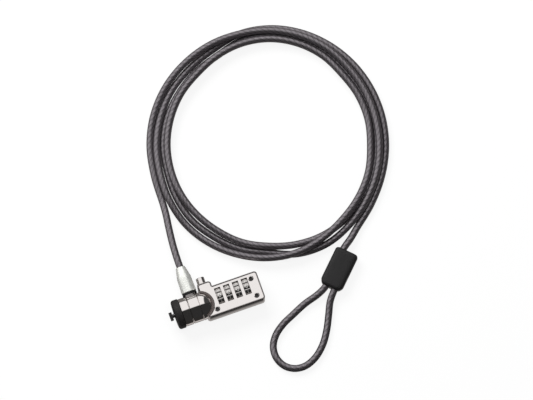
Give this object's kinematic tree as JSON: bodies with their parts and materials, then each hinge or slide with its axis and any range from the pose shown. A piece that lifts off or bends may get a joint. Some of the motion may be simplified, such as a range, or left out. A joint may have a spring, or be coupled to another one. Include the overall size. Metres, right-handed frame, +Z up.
{
  "type": "laptop cable lock",
  "caption": "Combination cable lock for a laptop: chromed head with number wheels, push button and T-bar, on a coiled steel cable that ends in a crimped loop.",
  "frame": {"origin": "on the head's flat back, under the barrel's axis, at the line where the raised shoulder by the button ends", "axes": "+X along the barrel from the nose to the block's end, +Y towards the cable ferrule and the button, +Z up from the flat back"},
  "size_m": [0.1859, 0.2365, 0.0204],
  "materials": {
    "chrome": "polished chrome plate on a zinc casting",
    "steel": "hardened steel, ground; the T-bar is black-oxide coated",
    "spring_steel": "bright spring steel",
    "cover_steel": "plated sheet steel",
    "brass": "machined brass",
    "crimp_metal": "pressed aluminium",
    "rubber": "moulded black rubber",
    "gasket": "black acetal",
    "wheel_black": "dark nickel plate with pale stamped figures",
    "sleeve": "moulded black plastic",
    "cable_coat": "smoky clear vinyl over twisted steel strands"
  },
  "bodies": {
    "cable": {"cable_coil": "cable_coat", "cable_lock_tail": "cable_coat", "cable_loop_tail": "cable_coat", "cable_loop": "cable_coat", "crimp_sleeve": "sleeve", "crimp_ferrule": "crimp_metal", "cable_ferrule": "chrome"},
    "collar": {"swivel_collar": "chrome", "swivel_gasket": "gasket"},
    "housing": {"main_housing": "chrome", "face_plate": "chrome", "back_cover": "cover_steel", "housing_rivets": "chrome", "nose_ring": "chrome", "nose_plate": "steel", "guard_pins": "steel", "nose_cap": "rubber", "button_spring": "spring_steel", "spindle_spring": "spring_steel", "code_washers": "cover_steel", "detent_spring": "spring_steel", "end_plug": "cover_steel"},
    "t_bar": {"t_bar": "steel", "t_bar_crank": "steel"},
    "button": {"release_button": "chrome", "button_slider": "steel"},
    "spindle": {"code_spindle": "steel"},
    "reset_screw": {"reset_screw": "steel"},
    "wheel_1": {"number_wheel_1": "wheel_black", "code_ring_1": "brass"},
    "wheel_2": {"number_wheel_2": "wheel_black", "code_ring_2": "brass"},
    "wheel_3": {"number_wheel_3": "wheel_black", "code_ring_3": "brass"},
    "wheel_4": {"number_wheel_4": "wheel_black", "code_ring_4": "brass"}
  },
  "joints": [
    {"name": "ferrule_swivel", "type": "hinge", "parent": "cable", "child": "collar", "pos_m": [-0.0158, 0.012, 0.0102], "axis": [0, 1, 0], "continuous": true},
    {"name": "collar_swivel", "type": "hinge", "parent": "collar", "child": "housing", "pos_m": [-0.0158, 0, 0.0102], "axis": [1, 0, 0], "continuous": true},
    {"name": "button_press", "type": "slide", "parent": "housing", "child": "button", "axis": [0, 1, 0], "range_m": [-0.0042, 0], "stiffness_N_per_m": 900, "springref_m": 0.0012, "deforming": ["button_spring"]},
    {"name": "t_bar_turn", "type": "hinge", "parent": "housing", "child": "t_bar", "pos_m": [-0.02, 0, 0.0102], "axis": [1, 0, 0], "range_deg": [-90, 0]},
    {"name": "spindle_slide", "type": "slide", "parent": "housing", "child": "spindle", "axis": [1, 0, 0], "range_m": [0, 0.0014], "deforming": ["spindle_spring"]},
    {"name": "wheel_1_turn", "type": "hinge", "parent": "housing", "child": "wheel_1", "pos_m": [0.0027, 0.002, 0.0098], "axis": [1, 0, 0], "range_deg": [0, 324]},
    {"name": "wheel_2_turn", "type": "hinge", "parent": "housing", "child": "wheel_2", "pos_m": [0.0091, 0.002, 0.0098], "axis": [1, 0, 0], "range_deg": [0, 324]},
    {"name": "wheel_3_turn", "type": "hinge", "parent": "housing", "child": "wheel_3", "pos_m": [0.0155, 0.002, 0.0098], "axis": [1, 0, 0], "range_deg": [0, 324]},
    {"name": "wheel_4_turn", "type": "hinge", "parent": "housing", "child": "wheel_4", "pos_m": [0.0219, 0.002, 0.0098], "axis": [1, 0, 0], "range_deg": [0, 324]},
    {"name": "reset_screw_turn", "type": "hinge", "parent": "housing", "child": "reset_screw", "pos_m": [0.031, 0.002, 0.0098], "axis": [1, 0, 0], "range_deg": [0, 90]}
  ],
  "couplings": [
    {"joint": "t_bar_turn", "follows": "button_press", "rad_per_m": 374},
    {"joint": "spindle_slide", "follows": "button_press", "ratio": -0.3333}
  ]
}
